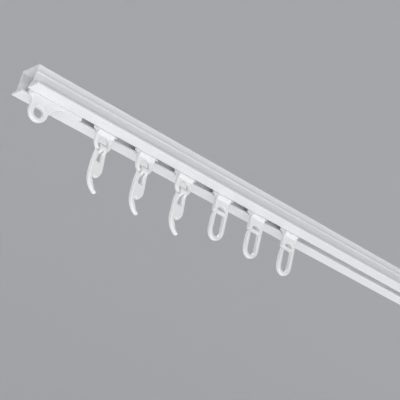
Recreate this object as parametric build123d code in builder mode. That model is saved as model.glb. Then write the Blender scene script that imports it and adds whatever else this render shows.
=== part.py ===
"""Curtain track: a ceiling rail with end stops, pleat-hook gliders and ring gliders.

Millimetres. X runs along the rail, -Y is the room side and the curtain hangs down -Z.
The origin is the middle of the rail's top face, which goes against the ceiling.
"""
from build123d import *
from math import cos, radians, sin, sqrt
import os

# Rail section, one extrusion
rail_length = 320.0
rail_height = 10.0
flange_span = 20.0
body_width = 12.4
slot_width = 5.0
wall = 1.0
web = 1.1
flange = 1.1
top_flare = 0.15
top_band = 1.3
top_edge_round = 0.2
bead_start = 2.2
bead_reach = 0.25
bead_slope = 1.0
bead_face = 0.3
bead_return = 0.4
bead_round = 0.15
foot_flare = 0.3
foot_round = 0.35
lip_round = 0.25
flange_tip_round = 0.25

# Screw holes through the web
screw_hole = 3.4
screw_inset = 40.0

# Head and neck that every glider has in the rail
run_gap = 0.15
side_play = 0.5
neck_gap = 0.4
neck_drop = 0.3
neck_recess = 0.3
head_length = 12.0
head_height = 2.8
head_point = 2.6
head_chamfer = 0.7
neck_length = 12.8
neck_point = 3.4
saddle_height = 1.7
saddle_round = 1.0
saddle_foot_round = 0.7

# Places of the gliders, taken from the near end of the rail
hook_gliders = 3
first_hook = 41.0
hook_pitch = 22.3
ring_gliders = 3
first_ring = 108.5
ring_pitch = 21.7

# Eye plate of a hook glider
plate_radius = 4.3
plate_thickness = 2.0
plate_round = 0.65
eye_drop = 4.3
eye_width = 4.4
bar_height = 2.1
eye_corner = 0.5

# Pleat hook: the clip round the bar of the eye
clip_gap = 0.3
clip_wall = 0.9
clip_width = 3.3

# Pleat hook: the flat body, its sizes taken down from the foot of the eye plate
hook_thickness = 2.2
hook_round = 0.6
shoulder_gap = 0.35
shoulder_half = 2.4
back_lean = 19.0
back_reach = 3.15
back_depth = 7.2
tongue_reach = 2.9
tongue_side = 6.6
tongue_cheek_reach = 2.65
tongue_cheek_depth = 9.3
tongue_low_reach = 1.0
tongue_low_depth = 11.4
tongue_depth = 11.15
tongue_dip = 17.0
notch_reach = 1.1
heel_reach = 2.4
heel_depth = 13.7
tip_reach = 2.05
tip_depth = 17.5
tip_radius = 0.62
tip_lean = 27.0
prong_width = 2.0
prong_lean = 20.0
slit_offset = 0.25
slit_top = 0.2
slit_depth = 4.7
slit_top_width = 0.9
slit_foot_width = 2.2
slit_corner = 0.35
notch_corner = 0.35

# Ring glider, its sizes taken down from the underside of the rail
ring_body_half = 4.1
ring_body_depth = 7.6
ring_body_corner = 0.6
small_eye_half = 2.3
small_eye_height = 1.9
small_eye_depth = 6.5
small_eye_corner = 0.4
crossbar_height = 1.4
ring_thickness = 2.1
ring_round = 0.4
ring_half = 4.1
ring_neck_half = 2.9
ring_strand = 1.6
ring_lean = 0.1
ring_straight_depth = 15.65
ring_bowl = 4.8
ring_bend_depth = 12.0
ring_corner = 0.8
ring_nick = 0.15

# End stop, its places taken from the end of the rail
stop_inset = 2.4
stop_length = 26.0
stop_gap = 0.2
stop_point = 1.2
stop_head_length = 14.0
stop_head_height = 4.2
tail_head_length = 4.0
tail_head_height = 1.8
tail_inset = 1.2
stop_eye_inset = 8.5
stop_lobe_drop = 6.0
stop_lobe_radius = 4.4
stop_eye_drop = 6.4
stop_eye_radius = 2.2
stop_thickness = 2.2
stop_round = 0.6
stop_sweep = 9.0
stop_heel = 1.0
stop_flare = 1.2
stop_flare_height = 3.0

# Levels and widths that follow from the sizes above
near_end = -rail_length / 2
flange_top = flange - rail_height
channel_width = body_width - 2 * wall
neck_width = slot_width - 2 * neck_gap
neck_floor = -rail_height - neck_drop
head_floor = flange_top + run_gap
head_width = channel_width - 2 * side_play
eye_level = -rail_height - eye_drop
plate_foot = eye_level - plate_radius
clip_level = plate_foot + bar_height / 2
clip_bore = bar_height / 2 + clip_gap
clip_radius = clip_bore + clip_wall


def side_plane(z, x=0.0):
    """Upright plane along the rail: its first direction is X, its second is Z."""
    return Plane(origin=(x, 0, z), x_dir=(1, 0, 0), z_dir=(0, -1, 0))


def boat(length, width, point):
    """Corners of a strip that is pointed at both ends."""
    straight = length / 2 - point
    half = width / 2
    left = [(-straight, half), (-length / 2, 0), (-straight, -half)]
    right = [(straight, -half), (length / 2, 0), (straight, half)]
    return left + right


def add_boat(floor, height, length, width, point, middle=0.0):
    with BuildSketch(Plane.XY.offset(floor)) as strip:
        with Locations((middle, 0)):
            Polygon(*boat(length, width, point), align=None)
    extrude(strip.sketch, amount=height)


def soften(sketch, radius, corners):
    """Rounds the corners of a sketch that lie nearest to the given points."""
    for corner in corners:
        fillet(sketch.vertices().sort_by_distance(corner)[0], radius=radius)


def round_faces(part, radius, roof):
    """Rounds the edges of the front and back faces, all that lie under the level roof."""
    edges = part.faces().filter_by(Axis.Y).edges()
    fillet([edge for edge in edges if edge.center().Z < roof], radius=radius)


def add_runner(plate_half, thickness):
    """Head in the channel, neck in the slot, and the saddle that leads down to a plate."""
    add_boat(head_floor, head_height, head_length, head_width, head_point)
    strip_floor = neck_recess - rail_height
    add_boat(strip_floor, head_floor - strip_floor, neck_length, neck_width, neck_point)
    saddle_length = 2 * plate_half
    with BuildSketch(Plane.XY.offset(neck_floor)) as wide:
        RectangleRounded(saddle_length, neck_width, saddle_round)
    extrude(wide.sketch, amount=head_floor - neck_floor)
    with BuildSketch(Plane.XY.offset(neck_floor - saddle_height)) as narrow:
        RectangleRounded(saddle_length, thickness, saddle_foot_round)
    loft([wide.sketch.face(), narrow.sketch.face()])


def make_rail():
    half_body = body_width / 2
    bead_crest = bead_start + bead_slope
    bead_foot = bead_crest + bead_face
    outline = [
        ((0, 0), 0),
        ((half_body + top_flare, 0), top_edge_round),
        ((half_body, -top_band), top_edge_round),
        ((half_body, -bead_start), bead_round),
        ((half_body + bead_reach, -bead_crest), bead_round),
        ((half_body + bead_reach, -bead_foot), bead_round),
        ((half_body, -bead_foot - bead_return), bead_round),
        ((half_body + foot_flare, flange_top), foot_round),
        ((flange_span / 2, flange_top), flange_tip_round),
        ((flange_span / 2, -rail_height), flange_tip_round),
        ((slot_width / 2, -rail_height), lip_round),
        ((slot_width / 2, flange_top), lip_round),
        ((channel_width / 2, flange_top), lip_round),
        ((channel_width / 2, -web), lip_round),
        ((0, -web), 0),
    ]
    with BuildPart() as rail:
        with BuildSketch(Plane.YZ.offset(near_end)):
            with BuildLine():
                corners = [corner for corner, radius in outline]
                radii = [radius for corner, radius in outline]
                FilletPolyline(*corners, radius=radii, close=True)
            make_face()
            mirror(about=Plane.YZ)
        extrude(amount=rail_length)
        with Locations((near_end + screw_inset, 0, 0), (-near_end - screw_inset, 0, 0)):
            Hole(screw_hole / 2, depth=rail_height)
    return rail


def make_hook_glider():
    neck_height = neck_floor - eye_level
    with BuildPart() as glider:
        with BuildSketch(side_plane(eye_level)) as outline:
            Circle(plate_radius)
            with Locations((0, neck_height / 2)):
                Rectangle(2 * plate_radius, neck_height)
            Circle(eye_width / 2, mode=Mode.SUBTRACT)
            sill = plate_foot + bar_height - eye_level
            with Locations((0, sill / 2)):
                Rectangle(eye_width, -sill, mode=Mode.SUBTRACT)
            soften(outline, eye_corner, [(-eye_width / 2, sill), (eye_width / 2, sill)])
        extrude(amount=plate_thickness / 2, both=True)
        round_faces(glider, plate_round, neck_floor - saddle_height / 2)
        add_runner(plate_radius, plate_thickness)
        chamfer(glider.edges().group_by(Axis.Z)[-1], head_chamfer)
    return glider


def heading(lean):
    """Direction along the rail that dips by an angle in degrees."""
    return Vector(cos(radians(lean)), -sin(radians(lean)))


def hook_outline():
    """Edges of the flat hook, from its left shoulder round the prong and the tongue."""
    seat_radius = plate_radius + shoulder_gap
    shoulder = plate_radius - sqrt(seat_radius**2 - shoulder_half**2)
    left = (-shoulder_half, shoulder)
    right = (shoulder_half, shoulder)
    back = (-back_reach, -back_depth)
    heel = Vector(-heel_reach, -heel_depth)
    tip = Vector(tip_reach, -tip_depth)
    forward = heading(tip_lean)
    across = heading(tip_lean - 90)
    tip_outer = tip - across * tip_radius
    tip_inner = tip + across * tip_radius
    inner_heel = heel + heading(-prong_lean) * prong_width
    notch = (-notch_reach, -tongue_depth - tip_radius)
    tongue_start = (-notch_reach, -tongue_depth)
    tongue_low = (tongue_low_reach, -tongue_low_depth)
    tongue_cheek = (tongue_cheek_reach, -tongue_cheek_depth)
    tongue_top = (tongue_reach, -tongue_side)
    Spline(left, back, heel, tip_outer, tangents=[heading(90 + back_lean), forward])
    ThreePointArc(tip_outer, tip + forward * tip_radius, tip_inner)
    Spline(tip_inner, inner_heel, notch, tangents=[-forward, (0, 1)])
    Line(notch, tongue_start)
    tongue = [tongue_start, tongue_low, tongue_cheek, tongue_top]
    Spline(*tongue, tangents=[heading(tongue_dip), (0, 1)])
    Line(tongue_top, right)
    ThreePointArc(right, (0, -shoulder_gap), left)


def make_pleat_hook():
    with BuildPart() as hook:
        with BuildSketch(side_plane(plate_foot)) as outline:
            with BuildLine():
                hook_outline()
            make_face()
            foot_left = (-slit_offset - slit_foot_width / 2, -slit_depth)
            foot_right = (-slit_offset + slit_foot_width / 2, -slit_depth)
            top_right = (slit_top_width / 2, slit_top)
            top_left = (-slit_top_width / 2, slit_top)
            Polygon(foot_left, foot_right, top_right, top_left, align=None, mode=Mode.SUBTRACT)
            soften(outline, slit_corner, [foot_left, foot_right])
            soften(outline, notch_corner, [(-notch_reach, -tongue_depth)])
        extrude(amount=hook_thickness / 2, both=True)
        round_faces(hook, hook_round, plate_foot + shoulder_gap)
        with BuildSketch(Plane.YZ):
            with Locations((0, clip_level)):
                Circle(clip_radius)
                Circle(clip_bore, mode=Mode.SUBTRACT)
                Rectangle(clip_radius, clip_radius, align=(Align.MIN, Align.MAX), mode=Mode.SUBTRACT)
        extrude(amount=clip_width / 2, both=True)
        # The slit runs on through the clip, so that the two legs can spring.
        with BuildSketch(side_plane(plate_foot + slit_top)):
            split_height = slit_top + clip_radius - bar_height / 2
            Rectangle(slit_top_width, split_height, align=(Align.CENTER, Align.MAX))
        extrude(amount=clip_radius, both=True, mode=Mode.SUBTRACT)
    return hook


def ring_outline(half, bowl, top, top_half):
    """Edges of a long ring: straight on its right, a bowl below, and a bend on its left."""
    bend = (-half, -ring_bend_depth)
    top_left = (-top_half, top)
    TangentArc(bend, top_left, tangent=(0, 1))
    Line(bend, (-half, -ring_straight_depth))
    bowl_centre = (0, -ring_straight_depth)
    EllipticalCenterArc(bowl_centre, half, bowl, start_angle=180, arc_size=180)
    Polyline((half, -ring_straight_depth), (half, top), top_left)


def make_ring_glider():
    inside_bowl = ring_bowl - ring_strand
    inside_half = ring_half - ring_strand
    inside_left = inside_half + ring_lean
    inside_top = -small_eye_depth - crossbar_height
    body_height = ring_body_depth - neck_drop
    eye_left = (-small_eye_half, -small_eye_depth)
    eye_top = (0, small_eye_height - small_eye_depth)
    eye_right = (small_eye_half, -small_eye_depth)
    with BuildPart() as glider:
        with BuildSketch(side_plane(-rail_height)) as outline:
            with BuildLine():
                ring_top = ring_body_corner - ring_body_depth
                ring_outline(ring_half, ring_bowl, ring_top, ring_neck_half)
            make_face()
            with Locations((0, -neck_drop - body_height / 2)):
                RectangleRounded(2 * ring_body_half, body_height, ring_body_corner)
            with BuildLine():
                ring_outline(inside_half, inside_bowl, inside_top, inside_left)
            make_face(mode=Mode.SUBTRACT)
            with BuildLine():
                ThreePointArc(eye_left, eye_top, eye_right)
                Line(eye_right, eye_left)
            make_face(mode=Mode.SUBTRACT)
            soften(outline, ring_nick, [(-ring_neck_half, -ring_body_depth)])
            soften(outline, ring_corner, [(-inside_left, inside_top), (inside_half, inside_top)])
            soften(outline, small_eye_corner, [eye_left, eye_right])
        extrude(amount=ring_thickness / 2, both=True)
        round_faces(glider, ring_round, neck_floor - saddle_height / 2)
        add_runner(ring_body_half, ring_thickness)
        chamfer(glider.edges().group_by(Axis.Z)[-1], head_chamfer)
    return glider


def stop_outline():
    """Edges of the stop's plate: a ring that flares to the rail's end and sweeps inwards."""
    rib_top = flange / 2
    sweep_reach = sqrt(stop_sweep**2 - (stop_sweep - stop_lobe_drop + neck_drop) ** 2)
    sweep_middle = stop_lobe_radius + sweep_reach
    flare_reach = stop_lobe_radius + stop_flare
    left = (-stop_lobe_radius, -stop_lobe_drop)
    bottom = (0, -stop_lobe_drop - stop_lobe_radius)
    right = (stop_lobe_radius, -stop_lobe_drop)
    sweep_end = (sweep_middle, -neck_drop)
    flare_start = (-stop_lobe_radius, -neck_drop - stop_flare_height)
    flare_end = (-flare_reach, -neck_drop)
    ThreePointArc(left, bottom, right)
    RadiusArc(right, sweep_end, stop_sweep)
    Polyline(sweep_end, (sweep_middle, rib_top), (-flare_reach, rib_top), flare_end)
    TangentArc(flare_start, flare_end, tangent=(0, 1))
    Line(flare_start, left)


def make_near_stop():
    start = near_end + stop_inset
    stop_middle = start + stop_length / 2
    head_middle = start + stop_head_length / 2
    tail_middle = start + stop_length - tail_inset - tail_head_length / 2
    slot_fit = slot_width - 2 * stop_gap
    head_fit = channel_width - 2 * (lip_round + stop_gap)
    with BuildPart() as stop:
        with BuildSketch(side_plane(-rail_height, near_end + stop_eye_inset)) as outline:
            with BuildLine():
                stop_outline()
            make_face()
            with Locations((0, -stop_eye_drop)):
                Circle(stop_eye_radius, mode=Mode.SUBTRACT)
            soften(outline, stop_heel, [(stop_lobe_radius, -stop_lobe_drop)])
        extrude(amount=stop_thickness / 2, both=True)
        round_faces(stop, stop_round, neck_floor - stop_round)
        for floor, height, length, width, middle in (
            (neck_floor, flange_top - neck_floor, stop_length, slot_fit, stop_middle),
            (flange_top, stop_head_height, stop_head_length, head_fit, head_middle),
            (flange_top, tail_head_height, tail_head_length, head_fit, tail_middle),
        ):
            add_boat(floor, height, length, width, stop_point, middle)
    return stop


def save(built, name):
    built.part.label = name
    export_step(built.part, f"parts/{name}.step")


def save_copies(piece, name, count, first, pitch):
    """Places equal pieces a pitch apart along the rail and writes each as its own part."""
    for number in range(count):
        with BuildPart() as copy:
            with Locations((near_end + first + number * pitch, 0, 0)):
                add(piece.part)
        save(copy, f"{name}_{number + 1}")


os.makedirs("parts", exist_ok=True)

save(make_rail(), "track")

near_stop = make_near_stop()
with BuildPart() as far_stop:
    mirror(near_stop.part, about=Plane.YZ)
save(near_stop, "end_stop_near")
save(far_stop, "end_stop_far")

save_copies(make_hook_glider(), "hook_glider", hook_gliders, first_hook, hook_pitch)
save_copies(make_pleat_hook(), "pleat_hook", hook_gliders, first_hook, hook_pitch)
save_copies(make_ring_glider(), "ring_glider", ring_gliders, first_ring, ring_pitch)
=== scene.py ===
"""A white ceiling curtain track with end stops, pleat-hook gliders and ring gliders.

Metres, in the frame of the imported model: X along the rail, -Y to the room, +Z up.
"""

import math

import bpy
from mathutils import Matrix, Vector


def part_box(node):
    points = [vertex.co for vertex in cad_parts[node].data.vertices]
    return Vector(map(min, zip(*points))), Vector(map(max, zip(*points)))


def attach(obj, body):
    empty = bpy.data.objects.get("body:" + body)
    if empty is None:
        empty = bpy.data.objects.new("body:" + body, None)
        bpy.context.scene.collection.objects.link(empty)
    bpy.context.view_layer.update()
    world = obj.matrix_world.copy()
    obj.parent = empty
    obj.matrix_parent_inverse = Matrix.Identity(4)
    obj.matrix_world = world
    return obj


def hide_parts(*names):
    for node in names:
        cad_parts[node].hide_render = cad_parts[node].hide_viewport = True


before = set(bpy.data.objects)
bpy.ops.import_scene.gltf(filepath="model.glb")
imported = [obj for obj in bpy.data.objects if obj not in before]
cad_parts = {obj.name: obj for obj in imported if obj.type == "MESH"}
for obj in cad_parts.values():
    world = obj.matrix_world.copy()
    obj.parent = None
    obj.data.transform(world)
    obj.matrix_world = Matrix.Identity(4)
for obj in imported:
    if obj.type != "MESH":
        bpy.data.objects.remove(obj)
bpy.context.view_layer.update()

# Camera
# It stands below the track at its cut end and looks up along it, as the photograph does. Its
# place, its turn and its lens were worked out from the straight edges of the rail.
eye_place = Vector((-0.33183, -0.36708, -0.19573))
eye_right = Vector((0.736135, -0.642148, 0.213895))
eye_up = Vector((-0.396537, -0.153071, 0.905167))
eye_back = eye_right.cross(eye_up)
sensor_width = 36.0
focal_pixels = 1107.17
frame_pixels = 400
nearest_seen = 0.01
furthest_seen = 20.0

camera_data = bpy.data.cameras.new("camera")
camera_data.sensor_width = sensor_width
camera_data.lens = sensor_width * focal_pixels / frame_pixels
camera_data.clip_start = nearest_seen
camera_data.clip_end = furthest_seen
camera = bpy.data.objects.new("camera", camera_data)
bpy.context.scene.collection.objects.link(camera)
facing = Matrix((eye_right, eye_up, eye_back)).transposed()
camera.matrix_world = Matrix.Translation(eye_place) @ facing.to_4x4()
bpy.context.scene.camera = camera
bpy.context.scene.view_settings.view_transform = "Standard"


# Studio
# A pale round floor well below the track, which sweeps up into a tall round wall of the same
# paint. The track is looked at from underneath, so four soft lamps lie on the floor and shine
# straight up, and two more stand above the track to light its closed top.
studio_low = -0.65
studio_wide = 2.6
studio_tall = 2.8
studio_sweep = 0.8
sweep_steps = 16
wall_sides = 96
wall_paint = (0.50, 0.51, 0.52)
wall_roughness = 0.9
wall_glow = 0.33
air_tint = (0.93, 0.96, 1.0)
air_glow = 0.35
floor_lamp_level = studio_low + 0.03


class Socket:
    """A socket of a node tree, on which sums and products are written as plain Python."""

    def __init__(self, tree, socket=None):
        self.tree = tree
        self.socket = socket

    def feed(self, target, value):
        """Links another Socket to an input, or sets the input to a plain value."""
        if isinstance(value, Socket):
            self.tree.links.new(value.socket, target)
        else:
            target.default_value = value

    def node(self, kind, settings=None, **inputs):
        """Adds one node: its settings first, then the values or links of its sockets.

        Base_Color stands for the input "Base Color", and _6 for the input with the index 6.
        """
        made = self.tree.nodes.new(kind)
        for name, value in (settings or {}).items():
            setattr(made, name, value)
        for name, value in inputs.items():
            key = int(name[1:]) if name[0] == "_" else name.replace("_", " ")
            self.feed(made.inputs[key], value)
        return made

    def out(self, made, name=0):
        return Socket(self.tree, made.outputs[name])

    def maths(self, operation, *values, clamp=False):
        made = self.node("ShaderNodeMath", {"operation": operation, "use_clamp": clamp})
        for socket, value in zip(made.inputs, values):
            self.feed(socket, value)
        return self.out(made)

    def __add__(self, other):
        return self.maths("ADD", self, other)

    def __radd__(self, other):
        return self.maths("ADD", other, self)

    def __sub__(self, other):
        return self.maths("SUBTRACT", self, other)

    def __rsub__(self, other):
        return self.maths("SUBTRACT", other, self)

    def __mul__(self, other):
        return self.maths("MULTIPLY", self, other)

    def __rmul__(self, other):
        return self.maths("MULTIPLY", other, self)

    def __abs__(self):
        return self.maths("ABSOLUTE", self)

    def over(self, edge, soft):
        """0 below the edge, 1 above it, over a soft width."""
        return self.maths("MULTIPLY", self - edge, 1.0 / soft, clamp=True)


def new_material(name):
    """An empty node material: its output node and a Socket to build from."""
    material = bpy.data.materials.new(name)
    material.use_nodes = True
    tree = material.node_tree
    tree.nodes.clear()
    output = tree.nodes.new("ShaderNodeOutputMaterial")
    return material, output, Socket(tree)


def opaque(colour):
    """A colour with the full alpha that Blender's sockets want."""
    return (*colour, 1.0)


floor_reach = studio_wide - studio_sweep
wall_profile = [(floor_reach, 0.0)]
for step in range(1, sweep_steps + 1):
    turn = 0.5 * math.pi * step / sweep_steps
    reach = floor_reach + studio_sweep * math.sin(turn)
    wall_profile.append((reach, studio_sweep * (1 - math.cos(turn))))
wall_profile.append((studio_wide, studio_tall))

points, faces = [(0.0, 0.0, studio_low)], []
for reach, rise in wall_profile:
    for side in range(wall_sides):
        angle = 2 * math.pi * side / wall_sides
        points.append((reach * math.cos(angle), reach * math.sin(angle), studio_low + rise))
for side in range(wall_sides):
    following = (side + 1) % wall_sides
    faces.append((0, 1 + side, 1 + following))
    for row in range(len(wall_profile) - 1):
        below, above = 1 + row * wall_sides, 1 + (row + 1) * wall_sides
        faces.append((below + side, above + side, above + following, below + following))
studio_mesh = bpy.data.meshes.new("studio")
studio_mesh.from_pydata(points, [], faces)
studio_mesh.polygons.foreach_set("use_smooth", [True] * len(faces))
studio = bpy.data.objects.new("studio", studio_mesh)
bpy.context.scene.collection.objects.link(studio)

# The wall glows a little where it is seen, but that glow throws no light on the track.
pale_wall, wall_output, shade = new_material("pale wall")
ray = shade.node("ShaderNodeLightPath")
seen = shade.out(ray, "Is Camera Ray") + shade.out(ray, "Is Glossy Ray")
seen = seen + shade.out(ray, "Is Transmission Ray")
seen = seen.maths("MINIMUM", seen, 1.0)
plain = shade.node(
    "ShaderNodeBsdfPrincipled", Base_Color=opaque(wall_paint), Roughness=wall_roughness
)
lit = shade.node(
    "ShaderNodeBsdfPrincipled",
    Base_Color=opaque(wall_paint),
    Roughness=wall_roughness,
    Emission_Color=opaque(wall_paint),
    Emission_Strength=wall_glow,
)
shown = shade.node("ShaderNodeMixShader", _0=seen, _1=shade.out(plain), _2=shade.out(lit))
shade.feed(wall_output.inputs["Surface"], shade.out(shown))
studio_mesh.materials.append(pale_wall)

world = bpy.data.worlds.new("studio air")
world.use_nodes = True
world.node_tree.nodes["Background"].inputs["Color"].default_value = opaque(air_tint)
world.node_tree.nodes["Background"].inputs["Strength"].default_value = air_glow
bpy.context.scene.world = world


def soft_lamp(name, place, target, wide, deep, watts):
    """An oval lamp that shines from its place towards the target and isn't seen itself."""
    data = bpy.data.lights.new(name, "AREA")
    data.shape = "ELLIPSE"
    data.size = wide
    data.size_y = deep
    data.energy = watts
    lamp = bpy.data.objects.new(name, data)
    lamp.location = place
    lamp.visible_camera = False
    aim = Vector(target) - Vector(place)
    lamp.rotation_euler = aim.to_track_quat("-Z", "Y").to_euler()
    bpy.context.scene.collection.objects.link(lamp)


def floor_lamp(name, along, across, wide, deep, watts):
    """A soft lamp that lies on the floor and shines straight up."""
    place = (along, across, floor_lamp_level)
    soft_lamp(name, place, (along, across, 0.0), wide, deep, watts)


track_middle = (0.0, 0.0, 0.0)
floor_lamp("lamp below the track", along=-0.1, across=0.1, wide=2.4, deep=2.0, watts=5.2)
floor_lamp("lamp in front", along=-0.1, across=-1.3, wide=2.6, deep=1.0, watts=20.5)
floor_lamp("lamp at the cut end", along=-1.1, across=-0.3, wide=0.9, deep=1.4, watts=11.0)
floor_lamp("lamp at the far end", along=1.1, across=-0.3, wide=0.9, deep=1.4, watts=6.0)
soft_lamp("lamp above in front", (-0.2, -0.9, 0.7), track_middle, wide=1.4, deep=1.0, watts=1.7)
soft_lamp("lamp above behind", (0.2, 0.8, 0.7), track_middle, wide=1.4, deep=1.0, watts=11.0)


# Rail
# One extrusion of white PVC, 20 mm over its flanges, with a bead along each wall. The die leaves
# faint lines along it. It is sawn square at both ends and drilled through its web for two screws.
mm = 0.001
rail_low, rail_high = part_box("track")
rail_length = rail_high[0] - rail_low[0]
screw_inset = 40.0 * mm
screw_radius = 1.7 * mm
screw_sides = 48
web = 1.1 * mm
drill_length = 3.0 * mm
corner_steps = 8
rail_corners = [
    # across from the middle, up from the ceiling, rounding, all in millimetres
    (6.35, 0.0, 0.2),  # top edge, a little wider than the wall
    (6.2, -1.3, 0.2),  # foot of the top band
    (6.2, -2.2, 0.15),  # the bead swells out,
    (6.45, -3.2, 0.15),
    (6.45, -3.5, 0.15),
    (6.2, -3.9, 0.15),  # and turns back to the wall
    (6.5, -8.9, 0.35),  # foot of the wall, on the flange
    (10.0, -8.9, 0.25),  # tip of the flange
    (10.0, -10.0, 0.25),
    (2.5, -10.0, 0.25),  # lip of the slot
    (2.5, -8.9, 0.25),
    (5.2, -8.9, 0.25),  # inside of the channel
    (5.2, -1.1, 0.25),
]
section = [(-across, -up, rounding) for across, up, rounding in rail_corners]
section += [(across, -up, rounding) for across, up, rounding in reversed(rail_corners)]
section_mesh = bpy.data.meshes.new("rail section")
section_mesh.from_pydata(
    [(across * mm, up * mm, 0.0) for across, up, rounding in section],
    [(corner, (corner + 1) % len(section)) for corner in range(len(section))],
    [],
)
corner_round = section_mesh.attributes.new("corner round", "FLOAT", "POINT")
corner_round.data.foreach_set("value", [rounding * mm for across, up, rounding in section])


def sized_tree(name, sizes):
    """A geometry tree with a named input for each size, and the sockets of those inputs."""
    tree = bpy.data.node_groups.new(name, "GeometryNodeTree")
    tree.interface.new_socket("Start", in_out="INPUT", socket_type="NodeSocketGeometry")
    for size, kind in sizes.items():
        tree.interface.new_socket(size, in_out="INPUT", socket_type="NodeSocket" + kind)
    tree.interface.new_socket("Finished", in_out="OUTPUT", socket_type="NodeSocketGeometry")
    entry = tree.nodes.new("NodeGroupInput")
    inputs = {socket.name: Socket(tree, socket) for socket in entry.outputs if socket.name}
    return tree, inputs


def finish_tree(tree, shape, material):
    """Ends a geometry tree: instances made real, one material, and the output."""
    maker = Socket(tree)
    real = maker.node("GeometryNodeRealizeInstances", Geometry=shape)
    coated = maker.node("GeometryNodeSetMaterial", Geometry=maker.out(real), Material=material)
    tree.links.new(coated.outputs[0], tree.nodes.new("NodeGroupOutput").inputs[0])


def grow(name, start_mesh, tree, sizes):
    """Runs a geometry tree on a mesh and keeps the result as a plain mesh at the origin."""
    start = bpy.data.objects.new(name + " start", start_mesh)
    bpy.context.scene.collection.objects.link(start)
    growth = start.modifiers.new(tree.name, "NODES")
    growth.node_group = tree
    for item in tree.interface.items_tree:
        if item.in_out == "INPUT" and item.name in sizes:
            growth[item.identifier] = sizes[item.name]
    evaluated = start.evaluated_get(bpy.context.evaluated_depsgraph_get())
    mesh = bpy.data.meshes.new_from_object(evaluated)
    start.modifiers.remove(growth)
    bpy.data.objects.remove(start)
    piece = bpy.data.objects.new(name, mesh)
    bpy.context.scene.collection.objects.link(piece)
    return piece


def noise(shade, place, cells, detail):
    """A soft random pattern between 0 and 1, with so many cells in a metre."""
    made = shade.node("ShaderNodeTexNoise", Vector=place, Scale=cells, Detail=detail)
    return shade.out(made)


def blend(shade, share, first, second):
    """A colour that goes from the first to the second as the share goes from 0 to 1."""
    mix = {"data_type": "RGBA"}
    made = shade.node("ShaderNodeMix", mix, _0=share, _6=opaque(first), _7=opaque(second))
    return shade.out(made, 2)


rail_white = (0.80, 0.81, 0.82)
sawn_white = (0.72, 0.73, 0.745)
rail_refraction = 1.52
rail_relief = 0.08 * mm
rail_relief_share = 0.35
sawn_depth = 0.15 * mm
sawn_fade = 0.1 * mm
saw_tilt = 0.35
# Cells of each pattern to the metre: three numbers are those along, across and up the rail.
die_cells = (6.0, 2600.0, 2600.0)
saw_cells = (200.0, 4200.0, 260.0)
grain_cells = 900.0
drift_cells = 28.0
# What each mark adds to the roughness.
rail_roughness = 0.30
die_roughness = 0.10
drift_roughness = 0.08
sawn_roughness = 0.25
# How high each mark stands, against the die lines on the skin.
grain_height = 0.15
saw_height = 1.6
sawn_grain_height = 0.5
# How far each mark takes the colour from the rail's white to the sawn white.
die_tint = 0.15
drift_tint = 0.45
sawn_tint = 0.4

rail_plastic, rail_output, shade = new_material("extruded white plastic")
space = shade.node("ShaderNodeTexCoord")
place = shade.out(space, "Object")
split = shade.node("ShaderNodeSeparateXYZ", Vector=place)
sawn = abs(shade.out(split, "X")).over(rail_length / 2 - sawn_depth, sawn_fade)
drawn = shade.node("ShaderNodeMapping", Vector=place, Scale=die_cells)
die = noise(shade, shade.out(drawn), cells=1.0, detail=3.0)
grain = noise(shade, place, grain_cells, detail=4.0)
drift = noise(shade, place, drift_cells, detail=2.0)
tilted = shade.node("ShaderNodeMapping", Vector=place, Rotation=(saw_tilt, 0.0, 0.0))
teeth = shade.node("ShaderNodeMapping", Vector=shade.out(tilted), Scale=saw_cells)
saw = noise(shade, shade.out(teeth), cells=1.0, detail=2.0)
roughness = (
    rail_roughness + die_roughness * die + drift_roughness * drift + sawn_roughness * sawn
)
skin_height = die + grain_height * grain
sawn_height = saw_height * saw + sawn_grain_height * grain
height = (1.0 - sawn) * skin_height + sawn * sawn_height
tint = drift_tint * drift + die_tint * die + sawn_tint * sawn
bump = shade.node(
    "ShaderNodeBump", Strength=rail_relief_share, Distance=rail_relief, Height=height
)
skin = shade.node(
    "ShaderNodeBsdfPrincipled",
    Base_Color=blend(shade, tint, rail_white, sawn_white),
    Roughness=roughness,
    Normal=shade.out(bump),
    IOR=rail_refraction,
)
shade.feed(rail_output.inputs["Surface"], shade.out(skin))

extrusion, given = sized_tree("rail extrusion", {
    "Length": "Float",
    "Corner Steps": "Int",
    "Screw Inset": "Float",
    "Screw Radius": "Float",
    "Screw Sides": "Int",
    "Drill Length": "Float",
    "Web Level": "Float",
    "Plastic": "Material",
})
extruder = Socket(extrusion)
half = 0.5 * given["Length"]
near = extruder.node("ShaderNodeCombineXYZ", X=-1.0 * half)
far = extruder.node("ShaderNodeCombineXYZ", X=half)
path = extruder.node(
    "GeometryNodeCurvePrimitiveLine", Start=extruder.out(near), End=extruder.out(far)
)
loop = extruder.node("GeometryNodeMeshToCurve", Mesh=given["Start"])
rounds = extruder.node(
    "GeometryNodeInputNamedAttribute", {"data_type": "FLOAT"}, Name="corner round"
)
rounded = extruder.node(
    "GeometryNodeFilletCurve",
    {"mode": "POLY"},
    Curve=extruder.out(loop),
    Radius=extruder.out(rounds, "Attribute"),
    Count=given["Corner Steps"],
)
drawn_out = extruder.node(
    "GeometryNodeCurveToMesh",
    Curve=extruder.out(path),
    Profile_Curve=extruder.out(rounded),
    Fill_Caps=True,
)
screw_reach = half - given["Screw Inset"]
first_screw = extruder.node("ShaderNodeCombineXYZ", X=-1.0 * screw_reach, Z=given["Web Level"])
screw_pitch = extruder.node("ShaderNodeCombineXYZ", X=2.0 * screw_reach)
screws = extruder.node(
    "GeometryNodeMeshLine",
    Count=2,
    Start_Location=extruder.out(first_screw),
    Offset=extruder.out(screw_pitch),
)
drill = extruder.node(
    "GeometryNodeMeshCylinder",
    Vertices=given["Screw Sides"],
    Radius=given["Screw Radius"],
    Depth=given["Drill Length"],
)
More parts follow.
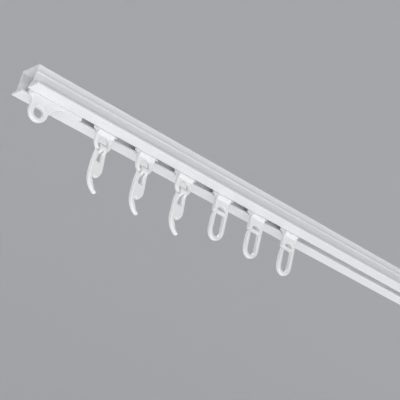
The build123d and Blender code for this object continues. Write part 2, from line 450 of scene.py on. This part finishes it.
drills = extruder.node(
    "GeometryNodeInstanceOnPoints", Points=extruder.out(screws), Instance=extruder.out(drill)
)
drills = extruder.node("GeometryNodeRealizeInstances", Geometry=extruder.out(drills))
bored = extruder.node(
    "GeometryNodeMeshBoolean",
    {"operation": "DIFFERENCE", "solver": "EXACT"},
    Mesh_1=extruder.out(drawn_out),
    Mesh_2=extruder.out(drills),
)
flat = extruder.node(
    "GeometryNodeSetShadeSmooth", Geometry=extruder.out(bored), Shade_Smooth=False
)
finish_tree(extrusion, extruder.out(flat), given["Plastic"])

track = grow("track_extrusion", section_mesh, extrusion, {
    "Length": rail_length,
    "Corner Steps": corner_steps,
    "Screw Inset": screw_inset,
    "Screw Radius": screw_radius,
    "Screw Sides": screw_sides,
    "Drill Length": drill_length,
    "Web Level": -web / 2,
    "Plastic": rail_plastic,
})
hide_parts("track")
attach(track, "rail")


# End stops
# One nylon moulding at each end, clamped in the slot, with an eye for the curtain's outer hook.
# The mould was textured by spark erosion, and its two halves met along the middle of the plate.
stop_white = (0.79, 0.795, 0.80)
stop_shade = (0.75, 0.755, 0.765)
mould_refraction = 1.49
light_reach = 0.8 * mm
even_light = (1.0, 1.0, 1.0)  # red, green and blue reach equally far into the plastic
mould_relief = 0.06 * mm
mould_relief_share = 0.35
parting_half = 0.04 * mm
parting_fade = 0.05 * mm
cloud_cells = 180.0
spark_cells = 2600.0
cloud_roughness = 0.14
parting_roughness = 0.1
cloud_height = 0.8
parting_height = 1.2
cloud_tint = 0.5
parting_tint = 0.3


def dress(node, material):
    """Gives a CAD piece its material."""
    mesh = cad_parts[node].data
    mesh.materials.clear()
    mesh.materials.append(material)


def moulded_plastic(name, white, darker, dullness, texture, glow):
    """White moulded plastic with a mould texture, soft clouding and a fine parting line."""
    material, output, shade = new_material(name)
    space = shade.node("ShaderNodeTexCoord")
    place = shade.out(space, "Object")
    split = shade.node("ShaderNodeSeparateXYZ", Vector=place)
    parting = 1.0 - abs(shade.out(split, "Y")).over(parting_half, parting_fade)
    cloud = noise(shade, place, cloud_cells, detail=3.0)
    spark = noise(shade, place, spark_cells, detail=3.0)
    roughness = dullness + cloud_roughness * cloud + parting_roughness * parting
    height = texture * spark + parting_height * parting + cloud_height * cloud
    bump = shade.node(
        "ShaderNodeBump", Strength=mould_relief_share, Distance=mould_relief, Height=height
    )
    skin = shade.node(
        "ShaderNodeBsdfPrincipled",
        Base_Color=blend(shade, cloud_tint * cloud + parting_tint * parting, white, darker),
        Roughness=roughness,
        Normal=shade.out(bump),
        IOR=mould_refraction,
        Subsurface_Weight=glow,
        Subsurface_Radius=even_light,
        Subsurface_Scale=light_reach,
    )
    shade.feed(output.inputs["Surface"], shade.out(skin))
    return material


stop_plastic = moulded_plastic(
    "moulded stop plastic", stop_white, stop_shade, dullness=0.36, texture=1.0, glow=0.1
)
for node in ("end_stop_near", "end_stop_far"):
    dress(node, stop_plastic)


# Hook gliders
# Acetal mouldings: a boat-shaped head that runs in the channel, a neck in the slot, and a round
# plate with an eye below it. Their mould is smoother than that of the stops, so that they run
# easily, and a little light passes into the thin plastic.
hook_gliders = 3
glider_white = (0.785, 0.79, 0.79)
glider_shade = (0.745, 0.75, 0.75)
glider_plastic = moulded_plastic(
    "moulded glider plastic", glider_white, glider_shade, dullness=0.3, texture=0.6, glow=0.16
)
for number in range(1, hook_gliders + 1):
    dress(f"hook_glider_{number}", glider_plastic)


# Ring gliders
# The same acetal head and neck, in one moulding with a small eye, a crossbar and a long oval
# ring, in which a curtain hook or a tie hangs.
ring_gliders = 3
for number in range(1, ring_gliders + 1):
    dress(f"ring_glider_{number}", glider_plastic)


# Pleat hooks
# Flat acetal mouldings that snap round the bar of a glider's eye, with two legs that spring on
# either side of a slit, a tongue, and a long curved prong that holds the curtain's tape.
hook_white = (0.80, 0.805, 0.80)
hook_shade = (0.755, 0.76, 0.76)
hook_plastic = moulded_plastic(
    "moulded hook plastic", hook_white, hook_shade, dullness=0.33, texture=0.8, glow=0.16
)
for number in range(1, hook_gliders + 1):
    dress(f"pleat_hook_{number}", hook_plastic)
